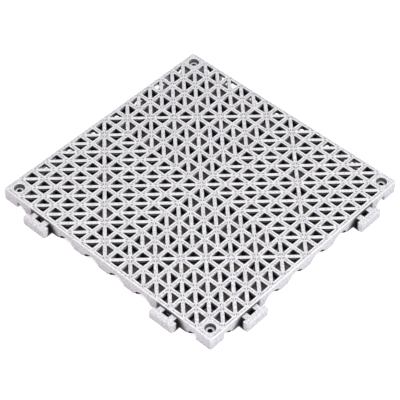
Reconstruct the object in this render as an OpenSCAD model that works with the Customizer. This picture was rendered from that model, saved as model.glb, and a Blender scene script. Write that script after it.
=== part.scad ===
// Interlocking open-grid floor tile, moulded in one piece.
// X and Y run along the sides, Z = 0 is the floor, the centre of the tile is the origin.
// The -Y and +X sides carry the connectors, the +Y and -X sides the sockets for them.

/* [Tile] */
// side length of the tile, without the connectors
tile_w = 304.8; // [296:0.1:316]
// height from floor to walking surface
tile_h = 15.9; // [14.5:0.1:19]
// thickness of the pierced deck
deck_t = 3.6; // [3.2:0.1:4]
// rounding of the upright corners, seen from above
corner_r = 2; // [0.5:0.1:2.4]
// chamfer along the top outer edge
lip_chamfer = 0.8; // [0.3:0.1:1.2]

/* [Ribs] */
// margin between the outer face and the first grid line
lip_w = 2.5; // [2:0.1:3.2]
// width of the straight ribs on the deck
rib_w = 5.05; // [4.2:0.05:6]
// width of the diagonal ribs on the deck
diag_w = 4.4; // [3.4:0.1:5.4]
// thickness of the webs under the straight ribs
web_t = 2.6; // [2:0.1:3.2]
// thickness of the outer skirt
skirt_t = 3.2; // [2.6:0.1:4]

/* [Waves] */
// radius of the arches in the lower edge of webs and skirt
arch_r = 13; // [11:0.1:14.5]
// height of the arches over the floor
arch_h = 8.6; // [6:0.1:9.6]

/* [Corner posts] */
// width of the solid corner posts
post_w = 19.9; // [18.5:0.1:21]
// diameter of the counterbore
cbore_d = 12.3; // [10:0.1:13.5]
// depth of the counterbore
cbore_depth = 5.2; // [4:0.1:9]
// diameter of the screw hole
screw_d = 5; // [3.5:0.1:6.5]

/* [Connectors] */
// distance of each connector from the middle of its side, in grid pitches
conn_lines = 5; // [5:2:5]
// length of the crossbar
bar_w = 32; // [28:0.1:32.4]
// thickness of the crossbar
bar_t = 7; // [5.5:0.1:7.6]
// distance from the side of the tile to the outer face of the crossbar
reach = 12.2; // [12:0.1:13.5]
// width of each arm
arm_w = 7.1; // [5.5:0.1:7.6]
// thickness of the arms
arm_t = 4.5; // [3.5:0.1:5.5]
// width of the window between the arms
window_w = 9; // [8:0.1:10]
// distance from the walking surface to the top of the connectors
conn_drop = 4.2; // [4.1:0.1:5]
// gap between crossbar and floor
bar_lift = 0.5; // [0.2:0.1:1]
// chamfer along the top outer edge of the crossbar
bar_chamfer = 1; // [0.5:0.1:1.5]
// chamfer along the bottom inner edge of the crossbar, across
hook_in = 3; // [1.5:0.1:3.6]
// chamfer along the bottom inner edge of the crossbar, upwards
hook_up = 4.2; // [2.5:0.1:5.5]

/* [Sockets] */
// clearance on each side between a connector and its socket
fit_gap = 0.6; // [0.3:0.05:0.75]
// height of the tab between the notches over the floor
tab_z = 6.2; // [5:0.1:7.5]

/* [Hidden] */
$fn = 96;
cells = 16;
pitch = (tile_w - 2 * lip_w) / cells;
half = tile_w / 2;
deck_z = tile_h - deck_t;
conn_z = tile_h - conn_drop;
hole_at = (cells / 2 - 0.5) * pitch;
over = 1;
// half the side of an opening, and how far its slanted side stands off the cell diagonal
open_r = (pitch - rib_w) / 2;
diag_off = diag_w / 2 * sqrt(2);
// overall width of the two arms with the window between them
arms_w = 2 * arm_w + window_w;
conn_at = conn_lines * pitch;

// position of grid line i, 0 to cells
function grid(i) = (i - cells / 2) * pitch;
// which way the rib in a cell runs; the pattern is mirrored in both middle lines
function fold(i) = i < cells / 2 ? i : cells - 1 - i;
function rising(r, c) = ((r < cells / 2) == (c < cells / 2)) == (fold(r) + fold(c) == cells / 2 - 1);
function corner(r, c) = (r == 0 || r == cells - 1) && (c == 0 || c == cells - 1);

module plan() {
    square([tile_w - 2 * corner_r, tile_w], center = true);
    square([tile_w, tile_w - 2 * corner_r], center = true);
    for (x = [-1, 1], y = [-1, 1])
        translate([x * (half - corner_r), y * (half - corner_r)]) circle(r = corner_r);
}

// the two triangular openings of one cell, for a rib that runs from corner to corner
module openings(up) {
    s = up ? 1 : -1;
    a = open_r;
    b = diag_off;
    polygon(
        points = [[-s * a, -a + b], [-s * a, a], [s * (a - b), a], [s * a, a - b], [s * a, -a], [-s * (a - b), -a]],
        paths = [[0, 1, 2], [3, 4, 5]]
    );
}

module deck_openings() {
    for (r = [0 : cells - 1], c = [0 : cells - 1])
        if (!corner(r, c))
            translate([grid(c + 0.5), -grid(r + 0.5), deck_z - over])
                linear_extrude(deck_t + 2 * over) openings(rising(r, c));
}

// lower and upper limit of the hollow under one row of cells
function hollow_lo(i) = i == 0 ? -half + skirt_t : grid(i) + web_t / 2;
function hollow_hi(i) = i == cells - 1 ? half - skirt_t : grid(i + 1) - web_t / 2;

module hollows() {
    for (i = [0 : cells - 1], j = [0 : cells - 1])
        translate([hollow_lo(i), hollow_lo(j), -over])
            cube([hollow_hi(i) - hollow_lo(i), hollow_hi(j) - hollow_lo(j), deck_z + over]);
}

// arched tunnels under every second grid line, along one direction
module tunnels() {
    for (i = [1 : 2 : cells - 1])
        translate([0, grid(i), arch_h - arch_r])
            rotate([0, 90, 0]) cylinder(r = arch_r, h = tile_w + 2 * over, center = true);
}

module edge_cut() {
    translate([0, -half, tile_h])
        rotate([90, 0, 90])
            linear_extrude(tile_w + 2 * over, center = true)
                polygon([[-over, over], [-over, -lip_chamfer - over], [lip_chamfer + over, over]]);
}

module post(x, y) {
    linear_extrude(deck_z + over)
        intersection() {
            plan();
            translate([x * half, y * half]) square(2 * post_w, center = true);
        }
}

// a connector on the -Y side, centred on X = 0; u is the distance out from that side
module connector() {
    inner = reach - bar_t;
    translate([bar_w / 2, -half, 0])
        rotate([90, 0, -90])
            linear_extrude(bar_w)
                polygon([
                    [inner, conn_z], [reach - bar_chamfer, conn_z], [reach, conn_z - bar_chamfer],
                    [reach, bar_lift], [inner + hook_in, bar_lift], [inner, bar_lift + hook_up]
                ]);
    for (s = [-1, 1])
        translate([s * (window_w + arm_w) / 2 - arm_w / 2, -half - inner - over, conn_z - arm_t])
            cube([arm_w, inner + over + skirt_t, arm_t]);
}

// what the connector of the next tile needs, cut from the +Y side
module socket_cut() {
    for (s = [-1, 1])
        translate([s * (window_w + arm_w) / 2 - arm_w / 2 - fit_gap, half - skirt_t - over, -over])
            cube([arm_w + 2 * fit_gap, skirt_t + 2 * over, deck_z + over]);
    translate([-bar_w / 2 - fit_gap, half - reach - fit_gap, -over])
        cube([bar_w + 2 * fit_gap, reach + fit_gap - skirt_t, deck_z + over]);
}

module socket_tab() {
    w = window_w - 2 * fit_gap;
    translate([-w / 2, half - skirt_t, tab_z]) cube([w, skirt_t, deck_z + over - tab_z]);
}

module tile() color([0.86, 0.86, 0.88])
    difference() {
        union() {
            difference() {
                linear_extrude(tile_h) plan();
                hollows();
                tunnels();
                rotate([0, 0, 90]) tunnels();
                for (s = [-1, 1]) {
                    translate([s * conn_at, 0, 0]) socket_cut();
                    rotate([0, 0, 90]) translate([s * conn_at, 0, 0]) socket_cut();
                }
            }
            for (x = [-1, 1], y = [-1, 1]) post(x, y);
            for (s = [-1, 1]) {
                translate([s * conn_at, 0, 0]) connector();
                rotate([0, 0, 90]) translate([s * conn_at, 0, 0]) connector();
                translate([s * conn_at, 0, 0]) socket_tab();
                rotate([0, 0, 90]) translate([s * conn_at, 0, 0]) socket_tab();
            }
        }
        deck_openings();
        for (a = [0 : 90 : 270]) rotate([0, 0, a]) edge_cut();
        for (x = [-1, 1], y = [-1, 1])
            translate([x * hole_at, y * hole_at, 0]) {
                translate([0, 0, -over]) cylinder(d = screw_d, h = tile_h + 2 * over);
                translate([0, 0, tile_h - cbore_depth]) cylinder(d = cbore_d, h = cbore_depth + over);
            }
    }

tile();
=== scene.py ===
# Open-grid floor tile: one moulded piece of mottled light grey plastic, lying on a pale studio floor.
import math

import bmesh
import bpy
from mathutils import Matrix, Vector


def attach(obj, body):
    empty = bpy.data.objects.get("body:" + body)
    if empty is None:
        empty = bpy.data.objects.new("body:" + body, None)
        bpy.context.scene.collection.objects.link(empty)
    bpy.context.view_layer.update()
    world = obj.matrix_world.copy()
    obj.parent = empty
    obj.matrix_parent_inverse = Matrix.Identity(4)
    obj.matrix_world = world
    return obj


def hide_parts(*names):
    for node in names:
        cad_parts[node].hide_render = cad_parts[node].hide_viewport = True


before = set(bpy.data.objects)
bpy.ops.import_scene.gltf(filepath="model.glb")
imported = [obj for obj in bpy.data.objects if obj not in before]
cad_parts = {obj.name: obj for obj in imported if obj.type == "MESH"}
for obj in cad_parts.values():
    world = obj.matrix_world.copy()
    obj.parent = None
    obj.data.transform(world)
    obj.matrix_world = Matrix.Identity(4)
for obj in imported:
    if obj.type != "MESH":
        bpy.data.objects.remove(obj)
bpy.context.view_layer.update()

mm = 0.001
weldReach = 0.002  # mm; points closer than this become one
cutWeldReach = 0.005  # the same after the booleans
sameReach = 0.01  # mm; measures closer than this count as equal
lineReach = 0.001  # pitches; points closer than this to a grid line lie on it
pointSteps = 1000  # per mm; points are told apart to this

tile = {
    "side": 304.8,  # without the hooks
    "height": 15.9,
    "deck": 3.6,  # thickness of the pierced deck
    "cells": 16,
    "lip": 2.5,  # margin outside the first grid line
    "lipRound": 0.8,
    "lipSteps": 3,
    "rib": 5.05,  # straight ribs, on the deck
    "diagonalRib": 4.4,
    "web": 2.6,  # walls under the straight ribs
    "shortWeb": 10.4,  # lower edge of those on the odd lines
    "skirt": 3.2,
    "archRadius": 13.0,
    "archHeight": 8.6,  # arches of the skirt
    "innerArch": 4.5,  # arches of the webs on the even lines
    "archSteps": 8,
    "diagonalWeb": 2.2,  # low walls under the diagonal ribs
    "diagonalLow": 8.8,  # their lower edge
    "diagonalInto": 0.6,  # how far they reach into the deck
    "diagonalGap": 0.05,  # keeps them apart at the crossings
    "boss": 3.3,  # blocks that join them where a straight web is less deep
    "bossInto": 0.3,
    "bossBelow": 0.1,
    "cornerRadius": 2.0,
    "cornerSteps": 6,
    "grooveHalf": 0.33,  # fine lines along the middle of each straight rib
    "grooveDepth": 0.4,
    "markAway": 1.28,  # short marks beside the diagonals, at each crossing
    "markHalf": 0.38,
    "markDepth": 0.45,
    "markStep": 0.12,
    "edgeRound": 0.45,  # moulded edge of each opening
    "highlightStrip": 1.0,  # painted highlight: a lighter strip along it, on the near sides
    "slantStrip": 0.05,  # and along the diagonals
    "openingRadius": 0.55,  # corners of each opening, seen from above
    "counterbore": 12.3,
    "counterboreDepth": 5.2,
    "screwHole": 5.0,
    "screwEase": 0.3,
    "holeSteps": 24,  # segments in each half of the screw holes
    "smoothAngle": 50,  # degrees
}

hook = {
    "line": 5,  # grid pitches from the middle of the side
    "width": 32.0,
    "thick": 7.0,
    "reach": 12.2,
    "armWidth": 7.1,
    "armThick": 4.5,
    "window": 9.0,
    "drop": 4.2,  # from the walking surface to the top of the hook
    "lift": 0.5,
    "topChamfer": 1.0,
    "underIn": 3.0,
    "underUp": 4.2,
    "endRound": 0.9,
    "endSteps": 4,
    "edgeRound": 0.4,
    "edgeSteps": 2,
    "sharpAngle": 35,  # degrees
    "gap": 0.6,  # clearance of the sockets
    "tabLow": 6.2,
    "tabTop": 1.0,  # below the deck
    "cutPast": 1.0,  # how far the cutters reach out of the tile
    "overlap": 0.01,  # keeps joined faces from lying in one plane
}

half = tile["side"] / 2
top = tile["height"]
deckLow = top - tile["deck"]
cells = tile["cells"]
last = cells - 1
pitch = (tile["side"] - 2 * tile["lip"]) / cells
halfCell = pitch / 2
openR = (pitch - tile["rib"]) / 2
root2 = math.sqrt(2)
openD = tile["diagonalRib"] / 2 * root2
cornerReach = 2.5  # where the loops round an opening have points beside each corner
slantReach = 2.2  # the same along the diagonals
pocketReach = 2.0  # and on the underside of the deck


def grid(i):
    return (i - cells / 2) * pitch


def low(i):  # near face of the web or skirt on line i
    return -half if i == 0 else half - tile["skirt"] if i == cells else grid(i) - tile["web"] / 2


def high(i):  # far face of the web or skirt on line i
    return half if i == cells else tile["skirt"] - half if i == 0 else grid(i) + tile["web"] / 2


def archHeight(line):
    return tile["archHeight"] if line in (0, cells) else tile["innerArch"]


def archZ(line, distance):  # lower edge at a distance from the middle of an arch
    rest = max(0.0, tile["archRadius"] ** 2 - distance**2)
    return max(0.0, math.sqrt(rest) - tile["archRadius"] + archHeight(line))


oddLow = tile["shortWeb"]
skirtLow = archZ(0, tile["web"] / 2)  # lower edge of the skirt where such a web meets it


def edgeZ(line, j, v):  # lower edge of the web on a line, at v in cell j along it
    return oddLow if line % 2 else archZ(line, abs(v - grid(j + 1 - j % 2)))


def nodeZ(i, j):  # lower edge at a crossing
    if i % 2 and j % 2:
        return oddLow
    return archZ(j if i % 2 else i, tile["web"] / 2) if i % 2 or j % 2 else 0.0


def samples(line, j):  # places in cell j along a line where its lower edge has points
    ends = [high(j), low(j + 1)]
    if line % 2:
        return ends
    r = tile["archRadius"]
    foot = math.asin(math.sqrt(r**2 - (r - archHeight(line)) ** 2) / r)
    first = math.asin(tile["web"] / 2 / r)
    steps = tile["archSteps"]
    away = [r * math.sin(first + (foot - first) * k / steps) for k in range(1, steps + 1)]
    if j % 2:
        return [ends[0], *(grid(j) + a for a in away), ends[1]]
    return [ends[0], *(grid(j + 1) - a for a in reversed(away)), ends[1]]


def isCorner(i, j):
    return i in (0, last) and j in (0, last)


def slant(i, j):  # 1 where the diagonal rib rises to the right, -1 where it falls
    r = last - j
    fold = min(r, last - r) + min(i, last - i)
    return 1 if ((r < cells / 2) == (i < cells / 2)) == (fold == cells / 2 - 1) else -1


# Points and faces of the tile's body; points in millimetres are shared where they meet.
points, faces, finishes, known = [], [], [], {}
outer, walls, lines, edges, bores, seats, litSlants, shadedMarks = range(8)  # finishes, in the order of the materials; walls, bores and seats carry painted shade, lines and shadedMarks painted shade in the grooves and marks, edges a painted highlight and litSlants painted light


def point(p):
    key = tuple(round(c * pointSteps) for c in p)
    if key not in known:
        known[key] = len(points)
        points.append(Vector(p) * mm)
    return known[key]


def face(corners, finish=outer):
    ids = list(dict.fromkeys(point(p) for p in corners))
    if len(ids) > 2:
        faces.append(ids)
        finishes.append(finish)


def bridge(a, b, closed=False, finish=outer):  # quads between two rows of points; finish may be a list
    for k in range(len(a) if closed else len(a) - 1):
        n = (k + 1) % len(a)
        face([a[k], a[n], b[n], b[k]], finish[k] if isinstance(finish, list) else finish)


def grooveZ(x, y):  # the grooves follow the straight ribs and run out before each crossing
    onLine = [abs(c / pitch - round(c / pitch)) < lineReach for c in (x, y)]
    return top - tile["grooveDepth"] if onLine[0] != onLine[1] else top


def triangle(a, b, radius=None):  # nine points round half a cell, or round an opening with soft corners
    corners = [Vector((-a, b - a)), Vector((-a, a)), Vector((a - b, a))]
    loop = []
    for k, p in enumerate(corners):
        before = (corners[k - 1] - p).normalized()
        after = (corners[(k + 1) % 3] - p).normalized()
        if radius is None:
            loop += [p + before * (slantReach if k == 0 else cornerReach), p]
            loop.append(p + after * (slantReach if k == 2 else cornerReach))
            continue
        opening = before.angle(after)
        reach = radius / math.tan(opening / 2)
        middle = (before + after).normalized() * (radius / math.sin(opening / 2) - radius)
        loop += [p + before * reach, p + middle, p + after * reach]
    return loop


def openCell(i, j):  # deck of one cell: two triangular openings with the diagonal rib between them
    s, cx, cy = slant(i, j), grid(i + 0.5), grid(j + 0.5)
    g, e, r = tile["grooveHalf"], tile["edgeRound"], tile["openingRadius"]
    strip, slantStrip = e + tile["highlightStrip"], e + tile["slantStrip"]
    eased = e * (1 - math.sqrt(0.5))
    mark, wide, step = tile["markAway"], tile["markHalf"], tile["markStep"]
    for q in (1, -1):
        rows = []
        for loop, z in (
            (triangle(halfCell, 0), None),
            (triangle(halfCell - g, g * root2), top),
            (triangle(halfCell - g - step, (mark - wide) * root2), top),
            (triangle(halfCell - g - 2 * step, mark * root2), top),
            (triangle(halfCell - g - 3 * step, (mark + wide) * root2), top),
            (triangle(openR + strip, openD - slantStrip * root2, r + strip), top),
            (triangle(openR + e, openD - e * root2, r + e), top),
            (triangle(openR + eased, openD - eased * root2, r + eased), top - eased),
            (triangle(openR, openD, r), top - e),
            (triangle(openR, openD, r), deckLow),
        ):
            places = [(cx + s * q * p.x, cy + q * p.y) for p in loop]
            rows.append([(x, y, grooveZ(x, y) if z is None else z) for x, y in places])
        for k in (1, 7):  # the marks are deepest nearest the crossings
            rows[3][k] = (*rows[3][k][:2], top - tile["markDepth"])
        x = {1: low(i + 1), -1: high(i)}
        y = {1: low(j + 1), -1: high(j)}
        corners = [Vector((x[s * q * a], y[q * b])) for a, b in ((-1, -1), (-1, 1), (1, 1))]
        pocket = []
        for k, p in enumerate(corners):
            before = (corners[k - 1] - p).normalized() * pocketReach
            after = (corners[(k + 1) % 3] - p).normalized() * pocketReach
            pocket += [(*(p + before), deckLow), (*p, deckLow), (*(p + after), deckLow)]
        # painted light: the rising diagonal ribs are lighter where they catch the light
        ribTop = [litSlants if s > 0 and k in (0, 7, 8) else outer for k in range(9)]
        # painted shade in the grooves
        line = [lines if k in (2, 5) else f for k, f in enumerate(ribTop)]
        # painted shade in the marks beside the crossings
        marks = [shadedMarks if k in (0, 7) else f for k, f in enumerate(ribTop)]
        # painted highlights on the eased edges, on the near sides of each opening only
        sideLook = (litSlants if s > 0 else outer, edges if s * q < 0 else outer, edges if q < 0 else outer)
        shine = [sideLook[side] for side in (0, 1, 1, 1, 2, 2, 2, 0, 0)]
        # painted shade down the opening walls and their lower eased band
        bands = (line, ribTop, marks, marks, ribTop, shine, shine, walls, walls, outer)
        for a, b, finish in zip(rows, rows[1:] + [pocket], bands):
            bridge(a, b, closed=True, finish=finish)


def along(axis, u, v, z):  # u across a line and v along it, for lines of either direction
    return (u, v, z) if axis == 0 else (v, u, z)


def websAndSkirt():
    for axis in (0, 1):
        for a in range(cells + 1):
            for b in range(cells):
                places = samples(a, b)
                if not (a in (0, cells) and b in (0, last)):  # the post stands there
                    rows = [[along(axis, u, v, edgeZ(a, b, v)) for v in places] for u in (low(a), high(a))]
                    # the skirt's arches carry the painted shade of the openings
                    bridge(*rows, finish=walls if a in (0, cells) else outer)
                v0, v1 = high(b), low(b + 1)
                upper = [v0, v0 + pocketReach, v1 - pocketReach, v1]
                for cell, u in ((a - 1, low(a)), (a, high(a))):
                    if 0 <= cell < cells and not isCorner(cell, b):
                        edge = [(v, edgeZ(a, b, v)) for v in reversed(places)]
                        if b % 2:  # a web without feet ends here
                            edge.append((v0, oddLow))
                        else:
                            edge.insert(0, (v1, oddLow))
                        # painted shade on the pocket walls under the deck
                        face([along(axis, u, v, z) for v, z in [(v, deckLow) for v in upper] + edge], walls)
    for i in range(cells + 1):
        for j in range(cells + 1):
            if i in (0, cells) and j in (0, cells):
                continue
            ring = [(low(i), low(j)), (high(i), low(j)), (high(i), high(j)), (low(i), high(j))]
            middle = {0: (low(i), grid(j)), cells: (high(i), grid(j))}.get(i)
            if middle:
                ring.insert(4 if i == 0 else 2, middle)
            middle = {0: (grid(i), low(j)), cells: (grid(i), high(j))}.get(j)
            if middle:
                ring.insert(1 if j == 0 else 3, middle)
            face([(*p, nodeZ(i, j)) for p in ring])
            if i % 2 != j % 2 and nodeZ(i, j) < oddLow:  # under the end of a web without feet
                for u in (low(j), high(j)) if i % 2 else (low(i), high(i)):
                    if abs(u) == half:
                        continue
                    ends = (low(i), high(i)) if i % 2 else (low(j), high(j))
                    corners = [(v, z) for z in (nodeZ(i, j), oddLow) for v in ends]
                    face([along(1 if i % 2 else 0, u, *corners[k]) for k in (0, 1, 3, 2)], walls)


def lipRows():  # how far the lip has come out and down at each step of its rounding
    r, n = tile["lipRound"], tile["lipSteps"]
    turns = [math.pi / 2 * k / n for k in range(n + 1)]
    return [(half - r + r * math.sin(t), top - r + r * math.cos(t)) for t in turns]


def sides():
    g, sideTop = tile["grooveHalf"], top - tile["lipRound"]
    for axis in (0, 1):
        for way in (1, -1):
            for b in range(cells):
                v0, v1 = grid(b), grid(b + 1)
                upper = [v0, v0 + cornerReach, v1 - cornerReach, v1]
                rows = [[along(axis, way * grid(cells), v, grooveZ(grid(cells), v)) for v in upper]]
                for u, z in ((grid(cells) + g, top), *lipRows()):
                    rows.append([along(axis, way * u, v, z) for v in upper])
                # painted shade in the lip's groove
                for k, (row, following) in enumerate(zip(rows, rows[1:])):
                    # painted highlight on the lip's rounding
                    bridge(row, following, finish=([outer, lines, outer], outer, edges, edges, outer)[k])
                if b in (0, last):
                    continue
                line = 0 if way < 0 else cells
                edge = [(v1, nodeZ(line, b + 1)), *((v, edgeZ(line, b, v)) for v in reversed(samples(line, b)))]
                edge.append((v0, nodeZ(line, b)))
                wall = [(v, sideTop) for v in upper] + edge
                face([along(axis, way * half, v, z) for v, z in wall])


def cornerCell(sx, sy):  # solid corner with its counterbored screw hole, over a post
    g, e = tile["grooveHalf"], tile["edgeRound"]
    eased = e * (1 - math.sqrt(0.5))
    middle, post, edge = grid(cells - 0.5), high(last), grid(cells)
    bore, screw, ease = tile["counterbore"] / 2, tile["screwHole"] / 2, tile["screwEase"]
    seat = top - tile["counterboreDepth"]
    r, n = tile["cornerRadius"], tile["cornerSteps"]
    slip = math.asin(g / (bore + e))
    steps = tile["holeSteps"]
    turns = [math.pi / 4 + slip + (math.pi - 2 * slip) * k / steps for k in range(steps + 1)]
    turns = [math.pi / 4, *turns, math.pi * 1.25]

    def chain(out, z):  # along the lip, round the upright corner
        arc = [math.pi / 2 * k / n for k in range(n + 1)]
        c, ring = half - r, r - (half - out)
        bend = [(c + ring * math.cos(t), c + ring * math.sin(t), z) for t in arc]
        return [(out, edge, z), *bend, (edge, out, z)]

    for swap in (False, True):

        def place(x, y, z):
            return (sx * y, sy * x, z) if swap else (sx * x, sy * y, z)

        def circle(radius, z):
            return [place(middle + radius * math.cos(t), middle + radius * math.sin(t), z) for t in turns]

        groove = [(middle + p.x, middle + p.y) for p in triangle(halfCell, 0)]
        groove = [place(x, y, grooveZ(x, y)) for x, y in groove]
        rim = [place(middle + p.x, middle + p.y, top) for p in triangle(halfCell - g, g * root2)]
        rings = [
            circle(bore + e, top),
            circle(bore + eased, top - eased),
            circle(bore, top - e),
            circle(bore, seat),
            circle(screw + ease, seat),
            circle(screw, seat - ease),
            circle(screw, 0.0),
        ]
        # painted shade in the grooves
        bridge(groove, rim, finish=[lines if k in (2, 5) else outer for k in range(8)])
        face([groove[8], rings[0][0], rings[0][1], rim[8]])
        face([groove[0], rings[0][-1], rings[0][-2], rim[0]])
        face(rim + rings[0][1:-1])
        # painted highlight on the counterbore's rim; painted shade down its wall, on its seat and in the screw
        # hole
        for row, following, finish in zip(rings, rings[1:], (edges, edges, bores, seats, walls, walls)):
            bridge(row, following, finish=finish)
        footEdge = chain(half, 0.0)[n // 2 + 1 : -1]  # from the middle of the rounded corner on
        under = [place(post, post, 0.0), place(post, half, 0.0), *(place(*p) for p in reversed(footEdge))]
        face(rings[-1] + under)
        inside = [(post, oddLow), (low(cells), oddLow), (low(cells), skirtLow)]
        inside += [(half, skirtLow), (half, 0.0), (post, 0.0)]
        face([place(post, v, z) for v, z in inside])
        c = half - r
        stations = (grid(last), grid(last) + cornerReach, edge - cornerReach, edge, c)
        upper = [(v, top - tile["lipRound"]) for v in stations]
        lower = [(c, 0.0), (post, 0.0), (post, skirtLow), (grid(last), skirtLow)]
        face([place(v, half, z) for v, z in upper + lower])

    rows = [[(sx * x, sy * y, z) for x, y, z in chain(out, z)] for out, z in lipRows()]
    # painted highlight on the lip's rounding round the corner
    for row, following, finish in zip(rows, rows[1:], (edges, edges, outer)):
        bridge(row, following, finish=finish)
    crossing = (sx * edge, sy * edge, top)
    a, b, c = [(sx * (edge + p), sy * (edge + q), top) for p, q in ((g, 0), (g, g), (0, g))]
    face([crossing, a, b, c])
    face([a, *rows[0], c, b])
    arc = rows[-1][1:-1]
    bridge(arc, [(x, y, 0.0) for x, y, z in arc])


def newObject(name, verts, polygons, indices=None):
    mesh = bpy.data.meshes.new(name)
    mesh.from_pydata(verts, [], polygons)
    for mat in plasticMaterials:
        mesh.materials.append(mat)
    if indices:
        mesh.polygons.foreach_set("material_index", indices)
    bm = bmesh.new()
    bm.from_mesh(mesh)
    bmesh.ops.remove_doubles(bm, verts=bm.verts, dist=weldReach * mm)
    bmesh.ops.recalc_face_normals(bm, faces=bm.faces)
    openEdges = sum(len(e.link_faces) != 2 for e in bm.edges)
    bm.to_mesh(mesh)
    bm.free()
    obj = bpy.data.objects.new(name, mesh)
    bpy.context.scene.collection.objects.link(obj)
    print(f"{name}: {len(mesh.polygons)} faces, {openEdges} open edges")
    return obj


def hookSide(axis, way, shift):  # from a side's own axes (along, out, up) to the tile's, in metres
    if axis == 0:
        m = Matrix(((0, way, 0, way * half), (1, 0, 0, shift), (0, 0, 1, 0), (0, 0, 0, 1)))
    else:
        m = Matrix(((1, 0, 0, shift), (0, way, 0, way * half), (0, 0, 1, 0), (0, 0, 0, 1)))
    return Matrix.Scale(mm, 4) @ m


def hookMesh():  # one hook: two arms, the window between them and the crossbar
    w, a, b = hook["width"] / 2, hook["window"] / 2, hook["window"] / 2 + hook["armWidth"]
    inner, outer = hook["reach"] - hook["thick"], hook["reach"]
    upper = top - hook["drop"]
    under = upper - hook["armThick"]
    lift, c = hook["lift"], hook["topChamfer"]
    back = hook["overlap"] - tile["skirt"]
    section = [
        (inner, upper), (outer - c, upper), (outer, upper - c), (outer, lift),
        (inner + hook["underIn"], lift), (inner, lift + hook["underUp"]),
    ]
    shape = [[(t, u, z) for u, z in section] for t in (-w, w)]
    for p, q in zip(section[1:5], section[2:6]):
        shape.append([(-w, *p), (w, *p), (w, *q), (-w, *q)])
    plan = [(-w, inner), (-b, inner), (-b, back), (-a, back), (-a, inner)]
    plan += [(-t, u) for t, u in reversed(plan)] + [(w, outer - c), (-w, outer - c)]
    shape.append([(t, u, upper) for t, u in plan])
    wall = [(-w, upper), (-b, upper), (-b, under), (-a, under), (-a, upper)]
    wall += [(-t, z) for t, z in reversed(wall)] + [(w, lift + hook["underUp"]), (-w, lift + hook["underUp"])]
    shape.append([(t, inner, z) for t, z in wall])
    for p, q in ((-b, -a), (a, b)):
        shape.append([(p, back, under), (q, back, under), (q, inner, under), (p, inner, under)])
        shape.append([(p, back, under), (q, back, under), (q, back, upper), (p, back, upper)])
        for t in (p, q):
            shape.append([(t, back, under), (t, inner, under), (t, inner, upper), (t, back, upper)])
    return shape


def prism(plan, z0, z1):  # a plan raised between two heights
    shape = [[(t, u, z) for t, u in plan] for z in (z0, z1)]
    for k in range(len(plan)):
        (a, b), (c, d) = plan[k - 1], plan[k]
        shape.append([(a, b, z0), (c, d, z0), (c, d, z1), (a, b, z1)])
    return shape


def gather(shape, matrix, verts, polygons):  # adds a shape's points and faces, placed by the matrix
    ids = {}
    for polygon in shape:
        row = []
        for p in polygon:
            key = tuple(round(c * pointSteps) for c in p)
            if key not in ids:
                ids[key] = len(verts)
                verts.append(matrix @ Vector(p))
            row.append(ids[key])
        polygons.append(row)


def hooksAndTabs():
    at = hook["line"] * pitch
    verts, polygons = [], []
    for axis, way in ((0, 1), (1, -1)):
        for shift in (-at, at):
            gather(hookMesh(), hookSide(axis, way, shift), verts, polygons)
    hooks = newObject("hooks", verts, polygons)
    bm = bmesh.new()
    bm.from_mesh(hooks.data)
    ends = []
    for e in bm.edges:
        a, b = (v.co / mm for v in e.verts)
        upright = abs(a.x - b.x) < sameReach and abs(a.y - b.y) < sameReach
        if upright and abs(max(abs(a.x), abs(a.y)) - half - hook["reach"]) < sameReach:
            ends.append(e)
    settings = {"profile": 0.5, "affect": "EDGES"}
    bmesh.ops.bevel(bm, geom=ends, offset=hook["endRound"] * mm, segments=hook["endSteps"], **settings)
    limit = math.radians(hook["sharpAngle"])
    sharp = [e for e in bm.edges if len(e.link_faces) == 2 and e.calc_face_angle(0) > limit]
    settings["clamp_overlap"] = True
    bmesh.ops.bevel(bm, geom=sharp, offset=hook["edgeRound"] * mm, segments=hook["edgeSteps"], **settings)
    bm.to_mesh(hooks.data)
    bm.free()
    verts, polygons = [], []
    inset = hook["overlap"]
    w = hook["window"] / 2 - hook["gap"] - inset
    for axis, way in ((0, -1), (1, 1)):
        for shift in (-at, at):
            plan = [(-w, inset - tile["skirt"]), (w, inset - tile["skirt"]), (w, -inset), (-w, -inset)]
            tab = prism(plan, hook["tabLow"], deckLow - hook["tabTop"])
            gather(tab, hookSide(axis, way, shift), verts, polygons)
    tabs = newObject("tabs", verts, polygons)
    return hooks, tabs


def diagonalWebs():  # low walls under the diagonal ribs, ending at the crossings
    verts, polygons = [], []
    for i in range(cells):
        for j in range(cells):
            if isCorner(i, j):
                continue
            s = slant(i, j)
            middle = Vector((grid(i + 0.5), grid(j + 0.5)))
            way = Vector((1, s)).normalized()
            reach = way * (halfCell * root2 - tile["diagonalWeb"] / 2 - tile["diagonalGap"])
            side = Vector((-way.y, way.x)) * tile["diagonalWeb"] / 2
            plan = [middle - reach - side, middle + reach - side, middle + reach + side, middle - reach + side]
            web = prism(plan, tile["diagonalLow"], deckLow + tile["diagonalInto"])
            gather(web, Matrix.Scale(mm, 4), verts, polygons)
    # painted shade, as on the walls of the openings
    return newObject("diagonalWebs", verts, polygons, [walls] * len(polygons))


def bosses():
    verts, polygons = [], []
    b = tile["boss"] / 2
    bossLow, bossHigh = tile["diagonalLow"] - tile["bossBelow"], deckLow + tile["bossInto"]
    for i in range(cells + 1):
        for j in range(cells + 1):
            if i % 2 or j % 2:
                x, y = grid(i), grid(j)
                plan = [(x - b, y - b), (x + b, y - b), (x + b, y + b), (x - b, y + b)]
                gather(prism(plan, bossLow, bossHigh), Matrix.Scale(mm, 4), verts, polygons)
    # painted shade, as on the walls of the openings
    return newObject("bosses", verts, polygons, [walls] * len(polygons))


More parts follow.
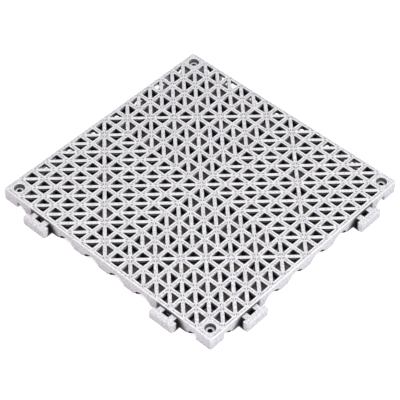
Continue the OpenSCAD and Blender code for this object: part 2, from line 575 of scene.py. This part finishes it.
def socketCutters():
    at, gap, o, past = hook["line"] * pitch, hook["gap"], hook["overlap"], hook["cutPast"]
    w = hook["width"] / 2 + gap
    a, b = hook["window"] / 2 - gap, hook["window"] / 2 + hook["armWidth"] + gap
    inner, skirt = -hook["reach"] - gap, o - tile["skirt"]
    plan = [(-w, inner), (-w, skirt), (-b, skirt), (-b, past), (-a, past), (-a, skirt)]
    plan += [(-t, u) for t, u in reversed(plan)]
    verts, polygons = [], []
    for axis, way in ((0, -1), (1, 1)):
        for shift in (-at, at):
            gather(prism(plan, -past, deckLow + o), hookSide(axis, way, shift), verts, polygons)
    return newObject("socketCutters", verts, polygons)


def combine(body, tools):  # joins or cuts in the order given
    for name, (other, how) in tools.items():
        m = body.modifiers.new(name, "BOOLEAN")
        m.object, m.operation, m.solver = other, how, "EXACT"
    graph = bpy.context.evaluated_depsgraph_get()
    done = bpy.data.meshes.new_from_object(body.evaluated_get(graph))
    body.modifiers.clear()
    body.data = done
    for other, how in tools.values():
        bpy.data.objects.remove(other)


print("materials")
plasticLook = {
    "base": (0.66, 0.645, 0.695, 1),
    "pale": (0.9, 0.905, 0.92, 1),
    "deep": (0.24, 0.22, 0.26, 1),
    "patch": 420.0,  # cloudy patches per metre
    "speck": 900.0,  # specks per metre
    "cloud": 1.0,
    "speckle": 0.7,
    "grain": 2600.0,
    "gloss": 0.5,
    "innerGloss": 0.08,  # the walls of the openings
    "smooth": 0.42,
    "rough": 0.62,
    "grainDepth": 0.00006,  # metres
    "grainStrength": 0.5,
    "shade": (0.012, 0.0115, 0.0115, 1),  # colour of the painted shade, deep in the openings and wherever else shade is painted
    "openingShade": 1.0,
    "boreShade": 0.86,  # the counterbores are less dark
    "footShade": 0.35,
    "hookShade": 0.97,
    "seatShade": 0.93,
    "seatPale": 3.2,  # mm from the middle of a screw hole to where the painted shade on its seat starts
}
# painted shade in the grooves
grooveShadeLook = {
    "base": (0.42, 0.39, 0.41, 1),
    "pale": (0.62, 0.6, 0.62, 1),
    "deep": (0.1, 0.08, 0.09, 1),
    "speckle": 0.9,
}
# painted shade in the marks beside the crossings
markShadeLook = {
    "base": (0.05, 0.045, 0.05, 1),
    "pale": (0.12, 0.11, 0.12, 1),
    "deep": (0.02, 0.02, 0.02, 1),
}
# painted light: the rising diagonal ribs lighter, where they catch the light
slantLitLook = {
    "base": (0.78, 0.77, 0.79, 1),
    "pale": (0.94, 0.94, 0.95, 1),
    "deep": (0.4, 0.38, 0.42, 1),
}
# painted highlight on the eased edges
edgeHighlightLook = {
    "base": (0.93, 0.93, 0.94, 1),
    "pale": (0.95, 0.95, 0.96, 1),
    "deep": (0.8, 0.8, 0.82, 1),
    "speckle": 0.4,
}
mottleRange = {"cloud": (0.36, 0.64), "speck": (0.53, 0.67)}  # noise levels between none and full
mottleNoise = {
    "cloud": {"Detail": 3.0, "Roughness": 0.65},
    "speck": {"Detail": 2.0, "Roughness": 0.7},
}
grainShape = {"wideScale": 420.0, "wideShare": 0.35, "wideRange": (0.3, 0.7), "detail": 2.0, "fineRoughness": 0.6}
openingDark = {
    "levels": [  # share of the tile's height, darkness
        (0.0, 0.0), (0.12, 0.5), (0.28, 0.98), (0.76, 1.0), (0.84, 0.97), (0.9, 0.95), (0.965, 0.93), (1.0, 0.9),
    ],
    "rightLight": 0.66,  # painted low light on the walls that face the near sides
    "leftLight": 0.22,  # and on those that face away from them
    "slantLight": 0.28,  # and on the middle of the diagonals
    "rightRange": (0.8, 0.25),  # places along the cell, from dark to lit
    "leftRange": (0.2, 0.9),
    "slantRange": (0.3, 0.05),  # distance from the middle of the cell
    "facing": (0.8, 0.95),
    "deckRange": (-0.3, 0.5),  # mm over the underside of the deck
}
hookDark = {  # painted shade beside the hooks; mm
    "lean": 0.8,  # the dark leans with the light
    "nearEnd": (34.5, 20.0),
    "farEnd": (-18.0, -15.0),
    "slot": (7.5, 5.0),
    "side": (-0.6, -0.2),
    "upward": (0.7, 0.1),  # tops stay light
    "height": (11.5, 16.0),
    "highLevel": 0.6,
}
footDark = {"contact": (1.4, 0.0), "rise": (12.0, 2.0), "riseLevel": 0.3}  # painted shade, mm over the floor


def adder(tree):  # makes nodes in one tree; values may be numbers, colours or other nodes' sockets
    def add(kind, values=None, **settings):
        node = tree.nodes.new("ShaderNode" + kind)
        for key, value in settings.items():
            setattr(node, key, value)
        for key, value in (values or {}).items():
            if isinstance(value, bpy.types.NodeSocket):
                tree.links.new(value, node.inputs[key])
            else:
                node.inputs[key].default_value = value
        return node

    return add


def newGroup(name, inputs, outputs):
    group = bpy.data.node_groups.new(name, "ShaderNodeTree")
    for label, kind, value in inputs:
        socket = group.interface.new_socket(name=label, in_out="INPUT", socket_type="NodeSocket" + kind)
        socket.default_value = value
    for label, kind in outputs:
        group.interface.new_socket(name=label, in_out="OUTPUT", socket_type="NodeSocket" + kind)
    add = adder(group)
    given, result = group.nodes.new("NodeGroupInput"), group.nodes.new("NodeGroupOutput")
    return group, add, given.outputs, result.inputs


def mixColour(add, factor, a, b):
    return add("Mix", {0: factor, 6: a, 7: b}, data_type="RGBA").outputs[2]


def evenRange(add, value, limits, low=0.0, high=1.0):
    ends = {"Value": value, "From Min": limits[0], "From Max": limits[1], "To Min": low, "To Max": high}
    return add("MapRange", ends).outputs[0]


def smoothRange(add, value, start, end, low=0.0, high=1.0):
    limits = {"Value": value, "From Min": start, "From Max": end, "To Min": low, "To Max": high}
    return add("MapRange", limits, interpolation_type="SMOOTHSTEP").outputs[0]


def smoothSteps(add, value, limits, low=0.0, high=1.0):  # limits in millimetres
    return smoothRange(add, value, limits[0] * mm, limits[1] * mm, low, high)


def maths(add, operation, *values):
    return add("Math", dict(enumerate(values)), operation=operation).outputs[0]


def makeMottle():  # cloudy patches and darker specks of regrind in the plastic
    group, add, given, result = newGroup(
        "mouldedMottle",
        [
            ("Base", "Color", (0.7, 0.7, 0.7, 1)),
            ("Pale", "Color", (0.8, 0.8, 0.8, 1)),
            ("Deep", "Color", (0.5, 0.5, 0.5, 1)),
            ("Patch Scale", "Float", 260.0),
            ("Speck Scale", "Float", 1100.0),
            ("Cloud", "Float", 0.8),
            ("Speckle", "Float", 0.5),
        ],
        [("Colour", "Color")],
    )
    place = add("TexCoord").outputs["Object"]
    cloud = add("TexNoise", {"Vector": place, "Scale": given["Patch Scale"], **mottleNoise["cloud"]})
    level = evenRange(add, cloud.outputs["Fac"], mottleRange["cloud"], 0.0, given["Cloud"])
    clouded = mixColour(add, level, given["Base"], given["Pale"])
    speck = add("TexNoise", {"Vector": place, "Scale": given["Speck Scale"], **mottleNoise["speck"]})
    spot = evenRange(add, speck.outputs["Fac"], mottleRange["speck"], 0.0, given["Speckle"])
    group.links.new(mixColour(add, spot, clouded, given["Deep"]), result["Colour"])
    return group


def makeGrain():  # fine moulded grain
    group, add, given, result = newGroup(
        "mouldedGrain",
        [("Scale", "Float", 2600.0), ("Smooth", "Float", 0.4), ("Rough", "Float", 0.6)],
        [("Height", "Float"), ("Roughness", "Float")],
    )
    place = add("TexCoord").outputs["Object"]
    both = {"Vector": place, "Detail": grainShape["detail"]}
    fine = add("TexNoise", {**both, "Scale": given["Scale"], "Roughness": grainShape["fineRoughness"]})
    wide = add("TexNoise", {**both, "Scale": grainShape["wideScale"]})
    shares = {0: grainShape["wideShare"], 2: fine.outputs["Fac"], 3: wide.outputs["Fac"]}
    height = add("Mix", shares, data_type="FLOAT")
    rough = evenRange(add, wide.outputs["Fac"], grainShape["wideRange"], given["Smooth"], given["Rough"])
    group.links.new(height.outputs[0], result["Height"])
    group.links.new(rough, result["Roughness"])
    return group


def makeDepthShade():  # painted shade: how dark a wall is at its height in the tile, less where painted low side light reaches it
    group, add, given, result = newGroup(
        "depthShade",
        [
            ("Strength", "Float", 1.0),
            ("Right Light", "Float", openingDark["rightLight"]),
            ("Left Light", "Float", openingDark["leftLight"]),
            ("Slant Light", "Float", openingDark["slantLight"]),
        ],
        [("Shade", "Float")],
    )
    x, y, z = add("SeparateXYZ", {0: add("TexCoord").outputs["Object"]}).outputs
    share = evenRange(add, z, (0.0, top * mm))
    ramp = add("ValToRGB", {"Fac": share})
    stops = ramp.color_ramp.elements
    levels = openingDark["levels"]
    while len(stops) < len(levels):
        stops.new(0.5)
    for stop, (at, level) in zip(stops, levels):
        stop.position, stop.color = at, (level, level, level, 1)
    facing = add("SeparateXYZ", {0: add("NewGeometry").outputs["True Normal"]}).outputs
    inCell = [maths(add, "FRACT", maths(add, "DIVIDE", v, pitch * mm)) for v in (x, y)]
    slanted = maths(add, "ABSOLUTE", maths(add, "MULTIPLY", facing[0], facing[1]))
    fromMiddle = [maths(add, "ABSOLUTE", maths(add, "SUBTRACT", v, 0.5)) for v in inCell]
    middle = [smoothRange(add, v, *openingDark["slantRange"]) for v in fromMiddle]
    slanted = maths(add, "MULTIPLY", slanted, maths(add, "MULTIPLY", *middle))
    sums = [maths(add, "MULTIPLY", slanted, given["Slant Light"])]
    for way, reach, level in ((1.0, "rightRange", "Right Light"), (-1.0, "leftRange", "Left Light")):
        for axis in (0, 1):  # most where the opening is widest in front of the wall
            front = smoothRange(add, maths(add, "MULTIPLY", facing[axis], way), *openingDark["facing"])
            lit = maths(add, "MULTIPLY", front, smoothRange(add, inCell[1 - axis], *openingDark[reach]))
            sums.append(maths(add, "MULTIPLY", lit, given[level]))
    while len(sums) > 1:
        sums.append(maths(add, "ADD", sums.pop(), sums.pop()))
    deckPart = smoothSteps(add, z, [deckLow + v for v in openingDark["deckRange"]])
    light = maths(add, "MULTIPLY", sums[0], deckPart)
    shade = maths(add, "MAXIMUM", maths(add, "SUBTRACT", ramp.outputs["Color"], light), 0.0)
    group.links.new(maths(add, "MULTIPLY", shade, given["Strength"]), result["Shade"])
    return group


def makeHookShade():  # painted shade between the hooks and the side that carries them
    group, add, given, result = newGroup("hookShade", [("Strength", "Float", 1.0)], [("Shade", "Float")])
    x, y, z = add("SeparateXYZ", {0: add("TexCoord").outputs["Object"]}).outputs
    up = add("SeparateXYZ", {0: add("NewGeometry").outputs["True Normal"]}).outputs["Z"]
    lean = maths(add, "MULTIPLY", z, hookDark["lean"])
    shades = []
    for across, out, way in ((x, y, -1.0), (y, x, 1.0)):
        hookLine = maths(add, "MULTIPLY", maths(add, "SIGN", across), hook["line"] * pitch * mm)
        beside = maths(add, "MULTIPLY", maths(add, "SUBTRACT", across, hookLine), -way)
        near = smoothSteps(add, maths(add, "ADD", beside, lean), hookDark["nearEnd"])
        far = smoothSteps(add, beside, hookDark["farEnd"])
        away = maths(add, "SUBTRACT", maths(add, "MULTIPLY", out, way), half * mm)
        inSlot = smoothSteps(add, away, hookDark["slot"])
        slot = maths(add, "MULTIPLY", inSlot, smoothSteps(add, away, hookDark["side"]))
        shades.append(maths(add, "MULTIPLY", maths(add, "MULTIPLY", near, far), slot))
    both = maths(add, "MAXIMUM", *shades)
    flat = smoothRange(add, up, *hookDark["upward"])
    high = smoothSteps(add, z, hookDark["height"], 1.0, hookDark["highLevel"])
    shade = maths(add, "MULTIPLY", maths(add, "MULTIPLY", both, flat), high)
    group.links.new(maths(add, "MULTIPLY", shade, given["Strength"]), result["Shade"])
    return group


def makeFootShade():  # painted shade: a little darker towards the floor, most at the floor itself
    group, add, given, result = newGroup("footShade", [("Strength", "Float", 0.3)], [("Shade", "Float")])
    z = add("SeparateXYZ", {0: add("TexCoord").outputs["Object"]}).outputs["Z"]
    rise = smoothSteps(add, z, footDark["rise"], 0.0, footDark["riseLevel"])
    shade = maths(add, "ADD", smoothSteps(add, z, footDark["contact"]), rise)
    group.links.new(maths(add, "MULTIPLY", shade, given["Strength"]), result["Shade"])
    return group


def makeRingShade():  # painted shade: the seats of the screw holes darken outwards
    group, add, given, result = newGroup(
        "ringShade",
        [
            ("Middle", "Float", 0.14),
            ("Inner", "Float", 0.003),
            ("Outer", "Float", 0.006),
            ("Strength", "Float", 1.0),
        ],
        [("Shade", "Float")],
    )
    axes = add("SeparateXYZ", {0: add("TexCoord").outputs["Object"]})
    squares = []
    for axis in axes.outputs[:2]:
        away = maths(add, "SUBTRACT", maths(add, "ABSOLUTE", axis), given["Middle"])
        squares.append(maths(add, "MULTIPLY", away, away))
    radius = maths(add, "SQRT", maths(add, "ADD", *squares))
    shade = smoothRange(add, radius, given["Inner"], given["Outer"])
    group.links.new(maths(add, "MULTIPLY", shade, given["Strength"]), result["Shade"])
    return group


mottle, grain, depthShade = makeMottle(), makeGrain(), makeDepthShade()
hookShade, footShade, ringShade = makeHookShade(), makeFootShade(), makeRingShade()


def plasticFinish(name, look, shades=(), **changes):
    look = {**look, **changes}
    mat = bpy.data.materials.new(name)
    mat.use_nodes = True
    tree = mat.node_tree
    add = adder(tree)
    shader = tree.nodes["Principled BSDF"]
    colour = add("Group", node_tree=mottle)
    for key in ("Base", "Pale", "Deep", "Cloud", "Speckle"):
        colour.inputs[key].default_value = look[key.lower()]
    for key, value in (("Patch Scale", "patch"), ("Speck Scale", "speck")):
        colour.inputs[key].default_value = look[value]
    skin = add("Group", node_tree=grain)
    for key, value in (("Scale", "grain"), ("Smooth", "smooth"), ("Rough", "rough")):
        skin.inputs[key].default_value = look[value]
    seen = colour.outputs["Colour"]
    for group, values in shades:
        dark = add("Group", node_tree=group)
        for key, value in values.items():
            dark.inputs[key].default_value = value
        seen = mixColour(add, dark.outputs["Shade"], seen, look["shade"])
    relief = {"Distance": look["grainDepth"], "Strength": look["grainStrength"]}
    bump = add("Bump", {"Height": skin.outputs["Height"], **relief})
    shader.inputs["Specular IOR Level"].default_value = look["gloss"]
    tree.links.new(seen, shader.inputs["Base Color"])
    tree.links.new(skin.outputs["Roughness"], shader.inputs["Roughness"])
    tree.links.new(bump.outputs["Normal"], shader.inputs["Normal"])
    return mat


# painted shade on the seats, darker outwards
seatRing = {
    "Middle": grid(cells - 0.5) * mm,
    "Inner": plasticLook["seatPale"] * mm,
    "Outer": tile["counterbore"] / 2 * mm,
    "Strength": plasticLook["seatShade"],
}
# painted shade on the outer plastic: towards the floor and beside the hooks
outerShades = [
    (footShade, {"Strength": plasticLook["footShade"]}),
    (hookShade, {"Strength": plasticLook["hookShade"]}),
]
dull = {"gloss": plasticLook["innerGloss"]}
plasticMaterials = [  # in the order of the finishes
    plasticFinish("mottledPlastic", plasticLook, outerShades),
    plasticFinish("paintedShadeOpeningWalls", plasticLook, [(depthShade, {"Strength": plasticLook["openingShade"]})], **dull),
    plasticFinish("paintedGrooveShade", plasticLook, **grooveShadeLook),
    plasticFinish("paintedEdgeHighlights", plasticLook, **edgeHighlightLook),
    plasticFinish("paintedShadeBoreWalls", plasticLook, [(depthShade, {"Strength": plasticLook["boreShade"]})], **dull),
    plasticFinish("paintedShadeBoreSeats", plasticLook, [(ringShade, seatRing)], **dull),
    plasticFinish("paintedLitSlantRibs", plasticLook, **slantLitLook),
    plasticFinish("paintedMarkShade", plasticLook, **markShadeLook),
]


print("tile body")
for i in range(cells):
    for j in range(cells):
        if not isCorner(i, j):
            openCell(i, j)
websAndSkirt()
sides()
for sx in (-1, 1):
    for sy in (-1, 1):
        cornerCell(sx, sy)
tileBody = newObject("tileBody", points, faces, finishes)

print("hooks and sockets")
hooks, tabs = hooksAndTabs()
combine(tileBody, {
    "bosses": (bosses(), "UNION"),
    "webs": (diagonalWebs(), "UNION"),
    "cut": (socketCutters(), "DIFFERENCE"),
    "tabs": (tabs, "UNION"),
    "hooks": (hooks, "UNION"),
})


def softenShading(obj, limit):
    bm = bmesh.new()
    bm.from_mesh(obj.data)
    bmesh.ops.remove_doubles(bm, verts=bm.verts, dist=cutWeldReach * mm)
    for f in bm.faces:
        f.smooth = True
    for e in bm.edges:
        e.smooth = len(e.link_faces) == 2 and e.calc_face_angle(0) < math.radians(limit)
    openEdges = sum(len(e.link_faces) != 2 for e in bm.edges)
    print("open edges:", openEdges, "triangles:", sum(len(f.verts) - 2 for f in bm.faces))
    bm.to_mesh(obj.data)
    bm.free()
    m = obj.modifiers.new("evenShading", "WEIGHTED_NORMAL")
    m.keep_sharp = True


softenShading(tileBody, tile["smoothAngle"])
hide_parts("tile")
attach(tileBody, "root")

print("studio")
studio = {
    "floorColor": (0.85, 0.85, 0.85, 1),
    "underShadeColor": (0.28, 0.245, 0.228, 1),  # painted shade on the floor under the tile
    "archShadeColor": (0.05, 0.045, 0.043, 1),  # and darker painted shade close behind the arches of the near sides
    "slotShadeColor": (0.02, 0.02, 0.02, 1),  # painted shadow on the floor between the hooks and the tile
    "nearInset": 5.5,  # the floor stays light under the arches of the near sides
    "footInset": 0.8,  # and is dark sooner behind their feet
    "footReach": (8.5, 14.5),  # mm from the middle of a foot, between the two
    "nearFade": 1.5,
    "farFade": 3.0,
    "archDepth": (12.0, 8.0),  # mm inside the near sides, between the two dark colours
    "slotOut": 1.5,
    "slotHalf": (17.5, 8.5),
    "slotFade": 3.0,
    "floorHalf": 6.0,  # metres
    "floorDrop": 0.2,  # mm; keeps the floor clear of the feet
    "floorGlow": 0.65,  # seen by the camera only, so that the floor stays white
    "worldLight": 0.475,
    "lowDown": (0.7, 0.2),  # heights in the sky between plain and tinted light
    "sideways": 0.9,
    "rightTint": (0.9, 0.95, 1.17, 1),  # low light from the +X side
    "frontTint": (1.26, 1.0, 1.08, 1),  # low light from the -Y side
    "keyPlace": (1.094, -0.30, 1.887),
    "keySize": 1.2,
    "keyPower": 26.6,
    "fillPlace": (0.55, -0.6, 1.3),
    "fillSize": 0.7,
    "fillPower": 3.9,
}


def makeBoxMask():  # 1 inside a rectangle on the floor, fading to 0 at its edge
    group, add, given, result = newGroup(
        "boxMask",
        [
            ("Place", "Vector", (0, 0, 0)),
            ("Middle", "Vector", (0, 0, 0)),
            ("Half Size", "Vector", (1, 1, 1)),
            ("Fade", "Float", 0.004),
        ],
        [("Mask", "Float")],
    )
    away = add("VectorMath", {0: given["Place"], 1: given["Middle"]}, operation="SUBTRACT").outputs[0]
    away = add("VectorMath", {0: away}, operation="ABSOLUTE").outputs[0]
    away = add("VectorMath", {0: away, 1: given["Half Size"]}, operation="SUBTRACT").outputs[0]
    axes = add("SeparateXYZ", {0: away})
    most = maths(add, "MAXIMUM", axes.outputs[0], axes.outputs[1])
    start = maths(add, "SUBTRACT", 0.0, given["Fade"])
    group.links.new(smoothRange(add, most, start, 0.0, 1.0, 0.0), result["Mask"])
    return group


def makeFloor():
    mesh = bpy.data.meshes.new("floor")
    s = studio["floorHalf"]
    mesh.from_pydata([(-s, -s, 0), (s, -s, 0), (s, s, 0), (-s, s, 0)], [], [(0, 1, 2, 3)])
    floor = bpy.data.objects.new("floor", mesh)
    floor.location.z = -studio["floorDrop"] * mm
    bpy.context.scene.collection.objects.link(floor)
    mat = bpy.data.materials.new("paleFloor")
    mat.use_nodes = True
    tree = mat.node_tree
    tree.nodes.clear()
    add = adder(tree)
    x, y, _ = add("SeparateXYZ", {0: add("TexCoord").outputs["Object"]}).outputs
    wide, deep = (maths(add, "ABSOLUTE", v) for v in (x, y))
    # the floor is painted dark under the tile, near-black behind the near sides' arches and between the hooks and
    # the tile: painted shade
    nearHalf = [(studio[key] - half) * mm for key in ("footInset", "nearInset")]
    reach = [v * mm for v in studio["footReach"]]
    underShadeMask = archShadeMask = None
    for across, inwards in ((x, y), (y, maths(add, "MULTIPLY", x, -1.0))):
        away = maths(add, "PINGPONG", across, pitch * mm)  # from the middle of the nearest foot
        inset = smoothRange(add, away, *reach, *nearHalf)
        nearPart = smoothSteps(add, maths(add, "SUBTRACT", inwards, inset), (0.0, studio["nearFade"]))
        farPart = smoothSteps(add, inwards, (half, half - studio["farFade"]))
        both = maths(add, "MULTIPLY", nearPart, farPart)
        underShadeMask = maths(add, "MULTIPLY", underShadeMask, both) if underShadeMask else both
        close = smoothSteps(add, inwards, [v - half for v in studio["archDepth"]])
        archShadeMask = maths(add, "MAXIMUM", archShadeMask, close) if archShadeMask else close
    boxMask = makeBoxMask()
    hookBox = {
        "Middle": (hook["line"] * pitch * mm, (half + studio["slotOut"]) * mm, 0),
        "Half Size": (studio["slotHalf"][0] * mm, studio["slotHalf"][1] * mm, 1),
        "Fade": studio["slotFade"] * mm,
    }
    masks = []
    for across, out in ((wide, maths(add, "MULTIPLY", y, -1.0)), (deep, x)):
        spot = add("CombineXYZ", {0: across, 1: out}).outputs[0]
        masks.append(add("Group", {"Place": spot, **hookBox}, node_tree=boxMask).outputs[0])
    slotShadow = maths(add, "MAXIMUM", *masks)
    under = maths(add, "MAXIMUM", underShadeMask, slotShadow)
    dark = mixColour(add, archShadeMask, studio["underShadeColor"], studio["archShadeColor"])
    colour = mixColour(add, underShadeMask, studio["floorColor"], dark)
    colour = mixColour(add, slotShadow, colour, studio["slotShadeColor"])
    diffuse = add("BsdfDiffuse", {"Color": colour})
    lit = maths(add, "SUBTRACT", 1.0, under)
    lit = maths(add, "MULTIPLY", lit, add("LightPath").outputs["Is Camera Ray"])
    lit = maths(add, "MULTIPLY", lit, studio["floorGlow"])
    glow = add("Emission", {"Color": (1, 1, 1, 1), "Strength": lit})
    both = add("AddShader", {0: diffuse.outputs[0], 1: glow.outputs[0]})
    back = add("NewGeometry").outputs["Backfacing"]  # the floor isn't seen from below
    choose = add("MixShader", {0: back, 1: both.outputs[0], 2: add("BsdfTransparent").outputs[0]})
    add("OutputMaterial", {"Surface": choose.outputs[0]})
    mesh.materials.append(mat)


makeFloor()


def makeWorld():
    world = bpy.data.worlds.new("studioWorld")
    bpy.context.scene.world = world
    world.use_nodes = True
    add = adder(world.node_tree)
    x, y, z = add("SeparateXYZ", {0: add("TexCoord").outputs["Generated"]}).outputs
    lowDown = smoothRange(add, z, *studio["lowDown"])
    fromRight = maths(add, "MULTIPLY", smoothRange(add, x, 0.0, studio["sideways"]), lowDown)
    fromFront = maths(add, "MULTIPLY", smoothRange(add, y, 0.0, -studio["sideways"]), lowDown)
    colour = mixColour(add, fromRight, (1, 1, 1, 1), studio["rightTint"])
    colour = mixColour(add, fromFront, colour, studio["frontTint"])
    seen = add("LightPath").outputs["Is Camera Ray"]
    colour = mixColour(add, seen, colour, (1, 1, 1, 1))
    level = evenRange(add, seen, (0.0, 1.0), studio["worldLight"], 1.0)
    back = world.node_tree.nodes["Background"]
    world.node_tree.links.new(level, back.inputs["Strength"])
    world.node_tree.links.new(colour, back.inputs["Color"])


makeWorld()


def makeLamp(name, place, size, power):
    light = bpy.data.lights.new(name, "AREA")
    light.shape, light.size, light.energy = "DISK", size, power
    lamp = bpy.data.objects.new(name, light)
    lamp.location = place
    lamp.rotation_euler = (-Vector(place)).to_track_quat("-Z", "Y").to_euler()
    bpy.context.scene.collection.objects.link(lamp)


makeLamp("keyLamp", studio["keyPlace"], studio["keySize"], studio["keyPower"])
makeLamp("fillLamp", studio["fillPlace"], studio["fillSize"], studio["fillPower"])

view = {
    "place": (0.77362755, -0.88681137, 1.26528422),
    "toward": (-0.44639481, 0.51082425, -0.7347042),
    "roll": 1.785,  # degrees
    "lens": 140.906,
    "sensor": 36,
}


def makeCamera():
    lens = bpy.data.cameras.new("photoCamera")
    lens.lens, lens.sensor_width = view["lens"], view["sensor"]
    camera = bpy.data.objects.new("photoCamera", lens)
    forward = Vector(view["toward"]).normalized()
    right0 = forward.cross(Vector((0, 0, 1))).normalized()
    up0 = right0.cross(forward)
    roll = math.radians(view["roll"])
    right = right0 * math.cos(roll) + up0 * math.sin(roll)
    up = right.cross(forward)
    turn = Matrix((right, up, -forward)).transposed()
    camera.matrix_world = Matrix.Translation(view["place"]) @ turn.to_4x4()
    bpy.context.scene.collection.objects.link(camera)
    bpy.context.scene.camera = camera


makeCamera()
bpy.context.scene.view_settings.view_transform = "Standard"
